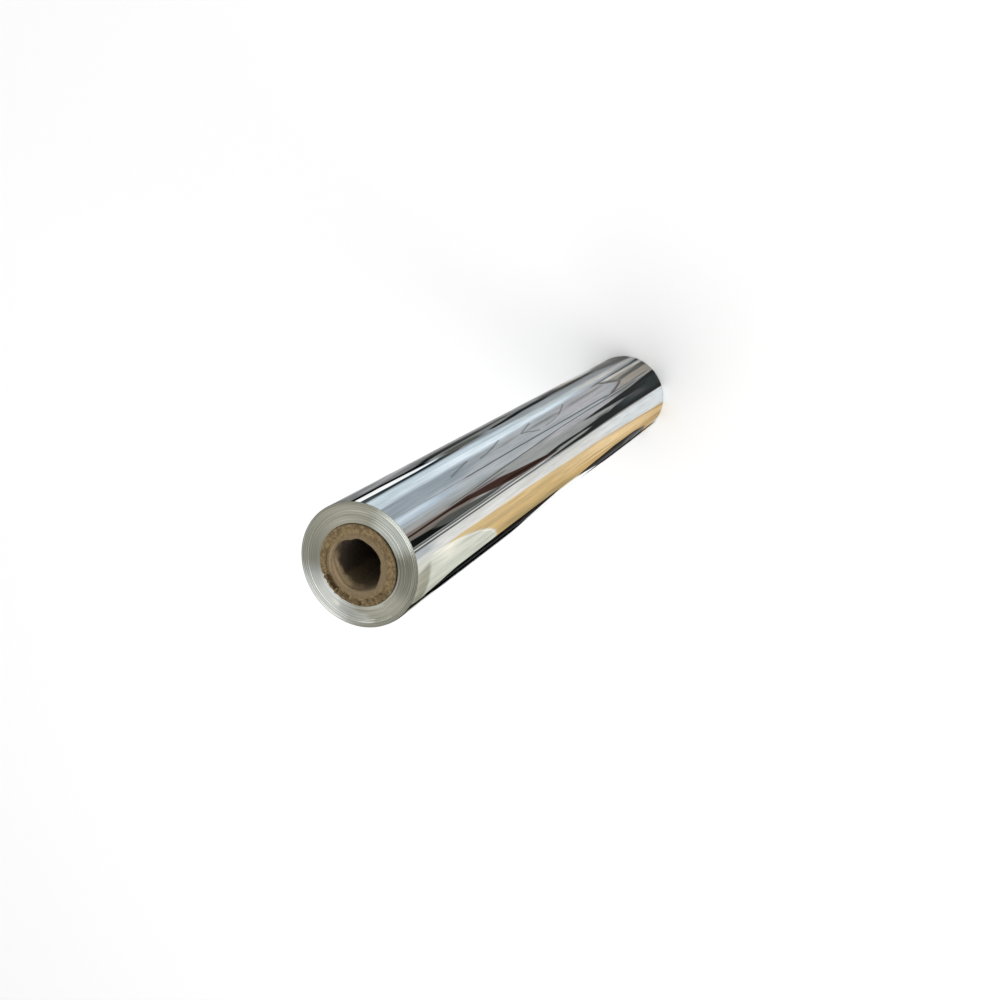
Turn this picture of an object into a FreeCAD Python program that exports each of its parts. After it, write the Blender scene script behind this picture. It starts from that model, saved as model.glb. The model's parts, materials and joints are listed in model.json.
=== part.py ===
"""Roll of aluminium foil wound on a thick paperboard core, standing on one end.

Millimetres. +Z runs up the roll, and the origin is the centre of the bottom end.
Angles are degrees about +Z, counted from +X as seen from above.
"""
import FreeCAD
import Part
import math
import os

from FreeCAD import Vector

# Driving dimensions
FOIL_WIDTH = 600.0
ROLL_RADIUS = 43.8
CORE_RADIUS = 28.7
BORE_RADIUS = 16.5
CORE_PROUD = 1.6

# The sheet's free edge lies along the whole roll and springs up from the turn below
TAIL_ROOT_ANGLE = 160.0
TAIL_TIP_ANGLE = 198.0
TAIL_LIFT = 0.7
TAIL_THICKNESS = 0.25
TAIL_GAP_ANGLE = 187.0

# The outermost turns are rubbed back along both rims
RIM_BEVEL = 0.4

# Rings where the edges of the turns lie uneven in the end faces. Each has its place across the
# wound thickness, 0 at the core and 1 outside, and its share of the deepest ring's depth.
TURN_LINES = (
    (0.11, 0.6),
    (0.24, 0.5),
    (0.39, 0.7),
    (0.49, 0.5),
    (0.63, 0.7),
    (0.73, 0.6),
    (0.83, 0.9),
    (0.91, 1.0),
)
TURN_LINE_DEPTH = 0.5
TURN_LINE_WIDTH = 0.5

# The mouth of the core's bore is crushed out of round: angle, and radius as a multiple of the bore's
MOUTH_OUTLINE = (
    (0, 1.16),
    (12, 1.19),
    (38, 1.13),
    (62, 1.055),
    (90, 1.02),
    (120, 1.07),
    (150, 1.115),
    (186, 1.11),
    (212, 1.035),
    (240, 1.01),
    (268, 1.06),
    (300, 1.07),
    (320, 1.10),
    (342, 1.09),
)
MOUTH_DEPTH = 14.0
LIP_BEVEL = 1.1

# Outside the lip the paperboard is torn away on one side
TORN_START = 74.0
TORN_END = 206.0
TORN_INNER_RADIUS = 24.2
TORN_DEPTH = 1.1
CREVICE_START = 76.0
CREVICE_END = 104.0
CREVICE_OUTER_RADIUS = 27.6
CREVICE_DEPTH = 3.2

# Crumbs of paperboard left standing in the torn part
CRUMB_COUNT = 9
CRUMB_FIRST_ANGLE = 111.0
CRUMB_STEP = 10.5
CRUMB_WIDTH = 1.3
CRUMB_HEIGHT = 0.7
CRUMB_LENGTH = 2.0
CRUMB_LENGTH_STEP = 0.6
CRUMB_INSET = 0.4
CRUMB_STAGGER = 0.5

# A ply has sprung a little along this seam, an arc about a centre beside the axis
SEAM_SHIFT_X = -0.9
SEAM_SHIFT_Y = 2.9
SEAM_RADIUS = 21.6
SEAM_START = 14.0
SEAM_END = 72.0
SEAM_WIDTH = 0.5
SEAM_DEPTH = 0.7

# A crescent of shadow between core and foil, opposite the torn part
GAP_MIDDLE_ANGLE = 250.0
GAP_WIDTH = 0.8
GAP_RADIUS = 30.4
GAP_DEPTH = 6.0

UP = Vector(0, 0, 1)
CORE_TOP = FOIL_WIDTH + CORE_PROUD
OVERSHOOT = 1.0


def polar(radius, angle, z=0.0):
    """Point at a radius and an angle about the roll's axis."""
    turn = math.radians(angle)
    return Vector(radius * math.cos(turn), radius * math.sin(turn), z)


def arc(centre, radius, start, end):
    """Arc in a level plane, anticlockwise from start to end."""
    circle = Part.Circle(centre, UP, radius)
    return Part.Arc(circle, math.radians(start), math.radians(end)).toShape()


def angle_of(point, centre):
    """Angle at which a point is seen from a centre, 0 to 360."""
    return math.degrees(math.atan2(point.y - centre.y, point.x - centre.x)) % 360


def point_on_circle_at(centre, radius, angle):
    """Where the ray at an angle from the roll's axis meets an off-centre circle."""
    ray = polar(1.0, angle)
    along = ray.dot(centre)
    reach = math.sqrt(along ** 2 - centre.dot(centre) + radius ** 2)
    return ray * (along + reach)


def ring_sector(inner, outer, start, end, bottom, top, centre=Vector(0, 0, 0)):
    """Solid between two radii and two angles about a centre."""
    base = Vector(centre.x, centre.y, bottom)
    near = arc(base, inner, start, end)
    far = arc(base, outer, start, end)
    first = Part.makeLine(base + polar(inner, start), base + polar(outer, start))
    last = Part.makeLine(base + polar(inner, end), base + polar(outer, end))
    outline = Part.Wire(Part.__sortEdges__([near, last, far, first]))
    return Part.Face(outline).extrude(UP * (top - bottom))


def roll_section():
    """Outline of the wound foil: a round body with the lifted free edge of the sheet."""
    spread = TAIL_TIP_ANGLE - TAIL_ROOT_ANGLE
    shift = TAIL_LIFT / (1 - math.cos(math.radians(spread)))
    tail_centre = polar(-shift, TAIL_ROOT_ANGLE)
    outer_radius = ROLL_RADIUS + shift
    inner_radius = outer_radius - TAIL_THICKNESS

    tip_outer = point_on_circle_at(tail_centre, outer_radius, TAIL_TIP_ANGLE)
    tip_inner = point_on_circle_at(tail_centre, inner_radius, TAIL_TIP_ANGLE)
    gap_top = point_on_circle_at(tail_centre, inner_radius, TAIL_GAP_ANGLE)
    gap_bottom = polar(ROLL_RADIUS, TAIL_GAP_ANGLE)

    edges = [
        arc(tail_centre, outer_radius, TAIL_ROOT_ANGLE, angle_of(tip_outer, tail_centre)),
        Part.makeLine(tip_outer, tip_inner),
        arc(tail_centre, inner_radius, angle_of(gap_top, tail_centre), angle_of(tip_inner, tail_centre)),
        Part.makeLine(gap_top, gap_bottom),
        arc(Vector(0, 0, 0), ROLL_RADIUS, TAIL_GAP_ANGLE, TAIL_ROOT_ANGLE + 360),
    ]
    return Part.Wire(Part.__sortEdges__(edges))


def turn_line(radius, depth, level, inward):
    """Ring with a V section, cut into the end face at a level, towards inward."""
    section = Part.makePolygon([
        Vector(radius - TURN_LINE_WIDTH / 2, 0, level),
        Vector(radius, 0, level + inward * depth),
        Vector(radius + TURN_LINE_WIDTH / 2, 0, level),
        Vector(radius, 0, level - inward * OVERSHOOT),
        Vector(radius - TURN_LINE_WIDTH / 2, 0, level),
    ])
    return Part.Face(section).revolve(Vector(0, 0, 0), UP, 360)


def rim_bevel(level, inward):
    """What is rubbed off the outer rim at an end face's level, towards inward."""
    inner = ROLL_RADIUS - RIM_BEVEL
    outer = ROLL_RADIUS + TAIL_LIFT + OVERSHOOT
    section = Part.makePolygon([
        Vector(inner, 0, level),
        Vector(outer, 0, level + inward * (outer - inner)),
        Vector(outer, 0, level - inward * OVERSHOOT),
        Vector(inner, 0, level - inward * OVERSHOOT),
        Vector(inner, 0, level),
    ])
    return Part.Face(section).revolve(Vector(0, 0, 0), UP, 360)


def foil_roll():
    """The wound foil, all its turns one solid, open round the core."""
    roll = Part.Face(roll_section()).extrude(UP * FOIL_WIDTH)
    hole = Part.makeCylinder(CORE_RADIUS, FOIL_WIDTH)
    thickness = ROLL_RADIUS - CORE_RADIUS
    cuts = []
    for level, inward in ((FOIL_WIDTH, -1), (0.0, 1)):
        cuts.append(rim_bevel(level, inward))
        for place, share in TURN_LINES:
            cuts.append(turn_line(CORE_RADIUS + place * thickness, share * TURN_LINE_DEPTH, level, inward))
    return roll.cut([hole, *cuts])


def mouth_wire(level, growth):
    """Closed smooth outline of the crushed mouth at a level, grown outwards."""
    points = [polar(share * BORE_RADIUS + growth, angle, level) for angle, share in MOUTH_OUTLINE]
    curve = Part.BSplineCurve()
    curve.interpolate(Points=points, PeriodicFlag=True)
    return Part.Wire(curve.toShape())


def mouth():
    """Space inside the crushed mouth, down to where the bore is round, with the lip's bevel."""
    round_level = CORE_TOP - MOUTH_DEPTH
    bevel_level = CORE_TOP - LIP_BEVEL
    circle = Part.Wire(Part.makeCircle(BORE_RADIUS, Vector(0, 0, round_level), UP))
    throat = Part.makeLoft([circle, mouth_wire(bevel_level, 0)], True, True)
    lip = Part.makeLoft(
        [mouth_wire(bevel_level, 0), mouth_wire(CORE_TOP + OVERSHOOT, LIP_BEVEL + OVERSHOOT)], True, True
    )
    return throat, lip


def torn_part():
    """What is missing outside the lip: a shallow loss and one deep crevice in it."""
    loss = ring_sector(
        TORN_INNER_RADIUS, CORE_RADIUS + OVERSHOOT, TORN_START, TORN_END,
        CORE_TOP - TORN_DEPTH, CORE_TOP + OVERSHOOT,
    )
    crevice = ring_sector(
        TORN_INNER_RADIUS, CREVICE_OUTER_RADIUS, CREVICE_START, CREVICE_END,
        CORE_TOP - CREVICE_DEPTH, CORE_TOP + OVERSHOOT,
    )
    return loss, crevice


def crumb(number):
    """One wedge of paperboard left in the torn part, longer or shorter by turns."""
    length = CRUMB_LENGTH + CRUMB_LENGTH_STEP * (number % 3)
    angle = CRUMB_FIRST_ANGLE + CRUMB_STEP * number
    inner = TORN_INNER_RADIUS + CRUMB_INSET + CRUMB_STAGGER * (number % 2)
    half = math.degrees(CRUMB_WIDTH / 2 / inner)
    floor = CORE_TOP - TORN_DEPTH
    return ring_sector(inner, inner + length, angle - half, angle + half, floor, floor + CRUMB_HEIGHT)


def sprung_seam():
    """Narrow groove along the ply that has sprung."""
    inner = SEAM_RADIUS - SEAM_WIDTH / 2
    outer = SEAM_RADIUS + SEAM_WIDTH / 2
    return ring_sector(
        inner, outer, SEAM_START, SEAM_END,
        CORE_TOP - SEAM_DEPTH, CORE_TOP + OVERSHOOT, Vector(SEAM_SHIFT_X, SEAM_SHIFT_Y, 0),
    )


def shadow_gap():
    """Crescent cut from the core's outside at the top end."""
    height = GAP_DEPTH + OVERSHOOT
    level = CORE_TOP - GAP_DEPTH
    around = Part.makeCylinder(CORE_RADIUS + OVERSHOOT, height, Vector(0, 0, level))
    offset = GAP_RADIUS - (CORE_RADIUS - GAP_WIDTH)
    kept = Part.makeCylinder(GAP_RADIUS, height, polar(-offset, GAP_MIDDLE_ANGLE, level))
    return around.cut(kept)


def core_tube():
    """Thick paperboard core, proud of the foil at the top and flush at the bottom."""
    tube = Part.makeCylinder(CORE_RADIUS, CORE_TOP)
    bore = Part.makeCylinder(BORE_RADIUS, CORE_TOP)
    core = tube.cut([bore, *mouth(), *torn_part(), sprung_seam(), shadow_gap()])
    crumbs = [crumb(number) for number in range(CRUMB_COUNT)]
    return core.fuse(crumbs).removeSplitter()


def write(name, shape):
    """Write one solid under its name and print its size."""
    solid = shape.Solids[0]
    solid.exportStep(os.path.join("parts", name + ".step"))
    print(name, "solids", len(shape.Solids), "valid", solid.isValid(), "cm3", round(solid.Volume / 1000, 1))


os.makedirs("parts", exist_ok=True)
write("foil_roll", foil_roll())
write("core_tube", core_tube())
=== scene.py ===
"""Aluminium foil roll on a thick paperboard core, standing on its end on a pale floor.

Metres in the row frame: +Z up the roll, origin at the centre of the bottom end.
Angles are degrees about +Z from +X; the photograph was taken from the side of -90 degrees.
Sizes named in millimetres are turned into metres by MM where they are used.
"""
import bmesh
import bpy
import json
import math
import numpy as np
from mathutils import Matrix, Vector, noise


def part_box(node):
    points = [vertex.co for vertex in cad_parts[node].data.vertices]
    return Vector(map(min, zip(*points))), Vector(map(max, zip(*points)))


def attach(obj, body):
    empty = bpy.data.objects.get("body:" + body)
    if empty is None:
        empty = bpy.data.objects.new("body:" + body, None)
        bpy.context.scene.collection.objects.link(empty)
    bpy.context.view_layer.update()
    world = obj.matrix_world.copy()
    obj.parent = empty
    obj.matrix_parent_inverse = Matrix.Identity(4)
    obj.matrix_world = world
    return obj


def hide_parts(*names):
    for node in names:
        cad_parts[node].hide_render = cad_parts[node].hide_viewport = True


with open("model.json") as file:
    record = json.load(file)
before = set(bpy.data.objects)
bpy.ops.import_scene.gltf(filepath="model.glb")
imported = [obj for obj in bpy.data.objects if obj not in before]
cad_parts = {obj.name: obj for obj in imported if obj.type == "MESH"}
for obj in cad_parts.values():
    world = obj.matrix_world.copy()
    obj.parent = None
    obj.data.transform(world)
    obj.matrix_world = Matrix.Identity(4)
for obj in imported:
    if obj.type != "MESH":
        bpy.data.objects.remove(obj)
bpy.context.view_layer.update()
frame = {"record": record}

MM = 0.001
FOIL_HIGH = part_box("foil_roll")[1]
CORE_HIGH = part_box("core_tube")[1]
FOIL_TOP = FOIL_HIGH[2]
CORE_TOP = CORE_HIGH[2]
ROLL_RADIUS = FOIL_HIGH[1]
CORE_RADIUS = CORE_HIGH[1]
FOIL_WIDTH_MM = FOIL_TOP / MM
BORE_RADIUS = frame["record"]["mounts"][0]["dims"]["r_mm"] * MM

# Camera, from the fit of the roll's rims and sides in the photograph
CAMERA_PLACE = (0.0, -0.4562, 1.2488)
CAMERA_AIM = (-0.0173, 0.0, 0.3817)
CAMERA_ROLL = -124.47
CAMERA_LENS = 43.02

COLUMNS = 480

# Angles between the parts of the bright side's painting. Each part has its own material, which holds
# only the streaks that reach it, because one material can't hold them all.
ZONES = (-180, -147, -108, -93, -73, -45, 8, 180)
CUT_ENDS = len(ZONES) - 1

RANDOM = np.random.default_rng(7)

# Free edge of the sheet, as the solid has it
TAIL_ROOT_ANGLE = 160.0
TAIL_TIP_ANGLE = 198.0
TAIL_LIFT = 0.7 * MM
TAIL_THICKNESS = 0.12 * MM

# Depths in millimetres between which the free edge lies almost flat, how softly this starts and ends,
# and the share of its lift that it loses there
FLAT_TAIL_FROM = 200
FLAT_TAIL_TO = 370
FLAT_TAIL_SOFT = 30
FLAT_TAIL_LOSS = 0.8

# Rings where the edges of the turns lie uneven: place across the wound thickness, share of the depth.
# Depth and width of a ring and the rims' bevel are in millimetres.
TURN_LINES = (
    (0.11, 0.6),
    (0.24, 0.5),
    (0.39, 0.7),
    (0.49, 0.5),
    (0.63, 0.7),
    (0.73, 0.6),
    (0.83, 0.9),
    (0.91, 1.0),
)
TURN_LINE_DEPTH = 0.3
TURN_LINE_WIDTH = 0.5
RIM_BEVEL = 0.4

# Mouth of the bore at the top: angle, radius as a multiple of the bore's
MOUTH_OUTLINE = (
    (0, 1.165),
    (12, 1.185),
    (38, 1.13),
    (62, 1.055),
    (90, 1.02),
    (117, 1.085),
    (150, 1.05),
    (168, 1.065),
    (186, 1.13),
    (204, 1.045),
    (234, 1.005),
    (241, 1.015),
    (252, 1.08),
    (282, 1.065),
    (303, 1.085),
    (318, 1.135),
    (342, 1.08),
    (354, 1.15),
)
MOUTH_DEPTH = 14.0 * MM

# Crevices in the torn board: first and last angle with their softness and unevenness, inner and outer
# radius in millimetres with theirs, share of the depth
CREVICES = (
    (78, 103, 2.5, 7, 22.8, 26.6, 0.5, 0.9, 1.0),
    (114, 126, 2.0, 5, 23.0, 25.4, 0.6, 0.8, 0.45),
    (142, 149, 2.0, 5, 25.4, 27.9, 0.5, 0.8, 0.5),
)
CREVICE_DEPTH = 2.3


# Shapes

def degrees_around(columns=COLUMNS):
    """Angles of a closed ring's points."""
    return np.arange(columns) * 360.0 / columns


def smooth(values, low, high):
    """0 below low, 1 above high, and a soft step between."""
    share = np.clip((values - low) / (high - low), 0.0, 1.0)
    return share * share * (3 - 2 * share)


def window(values, low, high, soft):
    """1 between low and high, with soft sides."""
    return smooth(values, low - soft, low + soft) * (1 - smooth(values, high - soft, high + soft))


def ripple(angles, level, orders, drift):
    """Gentle closed wave round the roll that changes slowly along it, about -1 to 1."""
    total = np.zeros_like(angles)
    for order in orders:
        phase, turn = RANDOM_PHASES[order % len(RANDOM_PHASES)]
        total = total + np.cos(np.radians(order * angles) + phase + turn * drift * level)
    return total / math.sqrt(len(orders))


RANDOM_PHASES = [(RANDOM.uniform(0, 2 * math.pi), RANDOM.uniform(-1, 1)) for _ in range(97)]


def ring(radii, angles, levels):
    """Points of one ring."""
    turn = np.radians(angles)
    return np.stack([radii * np.cos(turn), radii * np.sin(turn), levels + 0 * angles], axis=1)


def skin(name, rings, gap_materials, closed=True):
    """Mesh object through rings of equal count, each gap with one material or one for each column."""
    count = len(rings[0])
    points = np.concatenate(rings)
    faces = []
    face_materials = []
    gaps = len(rings) if closed else len(rings) - 1
    for gap in range(gaps):
        here = gap * count
        there = ((gap + 1) % len(rings)) * count
        face_materials.extend(np.broadcast_to(gap_materials[gap], count).tolist())
        for column in range(count):
            beside = (column + 1) % count
            faces.append((here + column, here + beside, there + beside, there + column))
    mesh = bpy.data.meshes.new(name)
    mesh.from_pydata([tuple(point) for point in points], [], faces)
    mesh.polygons.foreach_set("material_index", face_materials)
    mesh.polygons.foreach_set("use_smooth", [True] * len(faces))
    mesh.update()
    piece = bpy.data.objects.new(name, mesh)
    bpy.context.scene.collection.objects.link(piece)
    return piece


def zone_of(angles):
    """Which part of the bright side's painting each angle lies in."""
    turned = (np.asarray(angles) + 180) % 360 - 180
    return np.searchsorted(ZONES[1:-1], turned, side="right")


def side_radius(angles, level):
    """Radius of the wound foil's side, with the slight flats of a wound sheet."""
    flats = ripple(angles, level, (5, 9, 14, 22), 9.0) + 0.5 * ripple(angles, level, (37, 53, 71), 16.0)
    return ROLL_RADIUS - 0.09 * MM + 0.028 * MM * flats


def turn_radii():
    """Radii of the uneven rings in millimetres."""
    thickness = ROLL_RADIUS - CORE_RADIUS
    return [(CORE_RADIUS + place * thickness) / MM for place, share in TURN_LINES]


def end_relief(radius, angles):
    """How far the edges of the turns lie below the end plane at one radius."""
    millimetres = radius / MM
    sink = np.full_like(angles, 0.06)
    for line, (place, share) in zip(turn_radii(), TURN_LINES):
        reach = max(0.0, 1.0 - abs(millimetres - line) / (TURN_LINE_WIDTH / 2))
        uneven = 0.6 + 0.4 * np.cos(np.radians(angles - 40 * line))
        sink = sink + TURN_LINE_DEPTH * share ** 3 * reach * uneven
    sink = sink + 0.008 * np.cos(2.1 * millimetres)
    edge = max(0.0, (millimetres - ROLL_RADIUS / MM + RIM_BEVEL) / RIM_BEVEL)
    return (np.maximum(sink, 0.0) + RIM_BEVEL * edge) * MM


def end_radii(fine):
    """Radii of the rings in an end face, closer together at the turn lines."""
    inner, outer = CORE_RADIUS / MM, ROLL_RADIUS / MM - 0.1
    radii = list(np.linspace(inner, outer, fine))
    for line in turn_radii():
        radii += [line - TURN_LINE_WIDTH / 2, line, line + TURN_LINE_WIDTH / 2]
    radii = sorted(radii)
    kept = [radii[0]]
    for radius in radii[1:]:
        if radius - kept[-1] > 0.08:
            kept.append(radius)
    return np.array(kept) * MM


def wound_foil():
    """The wound foil: bottom end, side and top end in one closed skin."""
    angles = degrees_around()
    rings = []
    materials = []
    zones = zone_of(angles + 180 / COLUMNS)
    for radius in end_radii(12):
        rings.append(ring(radius + 0 * angles, angles, end_relief(radius, angles)))
        materials.append(CUT_ENDS)
    materials[-1] = zones
    for level in np.linspace(0.5 * MM, FOIL_TOP - 0.5 * MM, 92):
        rings.append(ring(side_radius(angles, level), angles, level))
        materials.append(zones)
    for radius in end_radii(40)[::-1]:
        rings.append(ring(radius + 0 * angles, angles, FOIL_TOP - end_relief(radius, angles)))
        materials.append(CUT_ENDS)
    return skin("foil_wound", rings, materials)


def tail_radius(angle):
    """Radius of the free edge's outer face at an angle, as an arc that leaves the roll at a tangent."""
    spread = math.radians(TAIL_TIP_ANGLE - TAIL_ROOT_ANGLE)
    shift = TAIL_LIFT / (1 - math.cos(spread))
    along = -shift * np.cos(np.radians(angle - TAIL_ROOT_ANGLE))
    return along + np.sqrt(along ** 2 - shift ** 2 + (ROLL_RADIUS + shift) ** 2)


def free_edge():
    """The last part of the sheet, a thin closed strip that springs up along its cut edge, least midway."""
    columns = 50
    rings = []
    for level in np.linspace(0.4 * MM, FOIL_TOP - 0.4 * MM, 150):
        wander = ripple(np.zeros(1), level, (3, 8, 17, 31), 60.0)[0]
        depth_mm = (FOIL_TOP - level) / MM
        lain_down = window(np.array(depth_mm), FLAT_TAIL_FROM, FLAT_TAIL_TO, FLAT_TAIL_SOFT)
        lift = (1 - 0.12 * (1 + wander) / 2) * (1 - FLAT_TAIL_LOSS * lain_down)
        tip = TAIL_TIP_ANGLE - 0.25 * (1 + wander)
        angles = np.linspace(TAIL_ROOT_ANGLE, tip, columns)
        rise = tail_radius(angles) - ROLL_RADIUS
        outer = ROLL_RADIUS - 0.14 * MM + rise * lift + 0.12 * MM * smooth(angles, 168, 190)
        both = np.concatenate([outer, (outer - TAIL_THICKNESS)[::-1]])
        rings.append(ring(both, np.concatenate([angles, angles[::-1]]), level))
    zones = zone_of(np.concatenate([angles, angles[::-1]]))
    piece = skin("foil_free_edge", rings, [zones] * len(rings), closed=False)
    cap_strip(piece, columns, len(rings))
    return piece


def cap_strip(piece, columns, ring_count):
    """Close the two ends of a thin strip made of rings that run out and back."""
    mesh = bmesh.new()
    mesh.from_mesh(piece.data)
    mesh.verts.ensure_lookup_table()
    for start in (0, (ring_count - 1) * columns * 2):
        last = start + columns * 2 - 1
        for column in range(columns - 1):
            corners = (start + column, start + column + 1, last - column - 1, last - column)
            mesh.faces.new([mesh.verts[corner] for corner in corners])
    bmesh.ops.recalc_face_normals(mesh, faces=mesh.faces)
    mesh.to_mesh(piece.data)
    mesh.free()


def mouth_radius(angles):
    """Smooth closed outline of the crushed mouth."""
    knots = np.array([angle for angle, radius in MOUTH_OUTLINE], dtype=float)
    radii = np.array([share for angle, share in MOUTH_OUTLINE]) * BORE_RADIUS / MM
    knots = np.concatenate([knots - 360, knots, knots + 360])
    radii = np.concatenate([radii, radii, radii])
    plain = np.interp(angles, knots, radii)
    spread = np.array([np.interp((angles + shift) % 360, knots, radii) for shift in np.linspace(-9, 9, 13)])
    nicks = 0.12 * np.sin(np.radians(13 * angles)) * np.sin(np.radians(5 * angles + 70))
    return (0.8 * plain + 0.2 * spread.mean(axis=0) + nicks) * MM


def roughness_field(angles, radius, scale, seed):
    """Lumpy noise over the core's end, about -1 to 1."""
    turn = np.radians(angles)
    places = zip(radius * np.cos(turn), radius * np.sin(turn))
    return np.array([noise.fractal(Vector((x * scale, y * scale, seed)), 1.0, 2.0, 4) for x, y in places])


def core_top_level(angles, radius):
    """Level of the core's end: smooth lip, torn part, crevices, ribs and sprung seam."""
    millimetres = radius / MM
    lumps = roughness_field(angles, radius, 420.0, 3.1)
    grain = roughness_field(angles, radius, 1100.0, 9.4)
    slow = roughness_field(angles, radius, 130.0, 6.2)
    torn_edge = 23.0 + 1.6 * slow
    torn = window(angles + 10 * slow, 70, 206, 5.0) * smooth(millimetres, torn_edge - 0.4, torn_edge + 0.5)
    rough = smooth(millimetres, 21.6 + 1.4 * slow, 23.2 + 1.4 * slow)
    pits = np.zeros_like(angles)
    for first, last, soft, uneven, inner, outer, edge_soft, edge_uneven, share in CREVICES:
        around = window(angles + uneven * lumps, first, last, soft)
        across = window(millimetres + edge_uneven * lumps, inner, outer, edge_soft)
        pits = pits + share * (around * across)
    pits = np.clip(pits, 0, 1)
    ribs = np.clip(np.cos(np.radians(angles * 31 + 60 * slow)), -0.2, 1)
    ribs = ribs * window(millimetres, 25.0, 28.0, 0.7)
    seam_angle = 14 + (millimetres - 21.4) * 17.0
    seam = window(angles, 26, 74, 3.0) * np.exp(-((angles - seam_angle) / 2.6) ** 2)
    level = -0.75 * torn - CREVICE_DEPTH * pits - 0.5 * seam
    level += torn * (1 - pits) * (0.85 * lumps + 0.95 * ribs + 0.3 * grain)
    level += rough * (0.22 * lumps + 0.16 * grain) + 0.03 * grain
    lip_drop = np.clip((mouth_radius(angles) / MM + 1.5 - millimetres) / 1.5, 0, 1)
    level -= 0.9 * lip_drop ** 2
    outer_drop = np.clip((millimetres - 28.0) / 0.7, 0, 1)
    level -= 0.6 * outer_drop ** 2
    return CORE_TOP - 0.12 * MM + np.minimum(level, 0.1) * MM


def core_gap(angles):
    """How far the core's outside is drawn in by the crescent of shadow."""
    crescent = np.clip(np.cos(np.radians((angles - 250) * 90 / 50)), 0, 1)
    return 0.8 * MM * crescent * window(angles, 200, 300, 3.0)


def paper_core():
    """The core: bottom end, outside, torn top end, crushed mouth and bore in one closed skin."""
    angles = degrees_around()
    rings = []
    outside = CORE_RADIUS - 0.02 * MM
    for radius in np.linspace(BORE_RADIUS, outside, 8):
        rings.append(ring(radius + 0 * angles, angles, 0.0))
    for level in (0.2, 0.45, FOIL_TOP - 6 * MM):
        rings.append(ring(outside + 0 * angles, angles, level))
    gap = core_gap(angles)
    for level in np.linspace(FOIL_TOP - 5.5 * MM, FOIL_TOP - 0.6 * MM, 5):
        rings.append(ring(outside - gap, angles, level))
    mouth = mouth_radius(angles)
    for share in np.linspace(1.0, 0.0, 52):
        radius = mouth + (outside - gap - mouth) * share
        rings.append(ring(radius, angles, core_top_level(angles, radius)))
    lip_level = rings[-1][:, 2]
    for share in np.linspace(0.06, 1.0, 16):
        level = lip_level + (CORE_TOP - MOUTH_DEPTH - lip_level) * share
        lumps = roughness_field(angles, mouth, 260.0, 5.0 + 3 * share)
        dent = 0.25 * MM * lumps * math.sin(math.pi * share)
        radius = mouth + (BORE_RADIUS - mouth) * smooth(np.array(share), 0.0, 1.0) + np.abs(dent)
        rings.append(ring(radius, angles, level))
    for level in np.linspace(CORE_TOP - MOUTH_DEPTH, 0.0, 14)[1:-1]:
        rings.append(ring(BORE_RADIUS + 0 * angles, angles, level))
    return skin("core_paperboard", rings, [0] * len(rings))


# Materials

def colour(red, green, blue):
    """Shader colour from screen values of 0 to 255."""
    def linear(value):
        share = value / 255
        return share / 12.92 if share <= 0.04045 else ((share + 0.055) / 1.055) ** 2.4
    return (linear(red), linear(green), linear(blue), 1.0)


class Graph:
    """A material's node tree, built with short words."""

    def __init__(self, name):
        self.material = bpy.data.materials.new(name)
        self.material.use_nodes = True
        self.tree = self.material.node_tree
        self.shader = self.tree.nodes["Principled BSDF"]

    def node(self, kind, inputs=None, **settings):
        """One node, with its settings and inputs, each a number, colour or other node's output."""
        node = self.tree.nodes.new(kind)
        for name, value in settings.items():
            setattr(node, name, value)
        for name, value in (inputs or {}).items():
            self.feed(node.inputs[name], value)
        return node

    def feed(self, socket, value):
        """Link an output to a socket, or set the socket's own value."""
        if isinstance(value, bpy.types.NodeSocket):
            self.tree.links.new(value, socket)
        else:
            socket.default_value = value

    def calc(self, operation, *values):
        """Result of a sum or function."""
        inputs = dict(enumerate(values))
        return self.node("ShaderNodeMath", inputs, operation=operation).outputs[0]

    def vector(self, operation, first, second, output=0):
        """Result of a vector operation."""
        inputs = {0: first, 1: second} if second is not None else {0: first}
        return self.node("ShaderNodeVectorMath", inputs, operation=operation).outputs[output]

    def step(self, value, low, high, start=0.0, end=1.0):
        """Soft step of a value from low to high."""
        inputs = {"Value": value, "From Min": low, "From Max": high, "To Min": start, "To Max": end}
        return self.node("ShaderNodeMapRange", inputs, interpolation_type="SMOOTHSTEP").outputs[0]

    def mix(self, share, first, second, blend="MIX"):
        """Mixed colour."""
        inputs = {0: share, 6: first, 7: second}
        return self.node("ShaderNodeMix", inputs, data_type="RGBA", blend_type=blend).outputs[2]

    def place(self):
        """X, Y, Z of the point and the whole vector, in metres."""
        point = self.node("ShaderNodeTexCoord").outputs["Object"]
        split = self.node("ShaderNodeSeparateXYZ", {0: point})
        return split.outputs[0], split.outputs[1], split.outputs[2], point

    def join(self, x, y, z):
        """Vector from three numbers."""
        return self.node("ShaderNodeCombineXYZ", {0: x, 1: y, 2: z}).outputs[0]

    def noise(self, vector, scale, detail=3.0, roughness=0.55):
        """Noise of 0 to 1 at a point."""
        inputs = {"Vector": vector, "Scale": scale, "Detail": detail, "Roughness": roughness}
        return self.node("ShaderNodeTexNoise", inputs).outputs[0]

    def bump(self, height, strength, distance, normal=None):
        """Normal bent by a height."""
        inputs = {"Height": height, "Strength": strength, "Distance": distance}
        if normal is not None:
            inputs["Normal"] = normal
        return self.node("ShaderNodeBump", inputs).outputs[0]

    def finish(self, **sockets):
        """Set or link the surface's sockets, written with underscores for spaces."""
        for name, value in sockets.items():
            self.feed(self.shader.inputs[name.replace("_", " ")], value)
        return self.material


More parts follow.
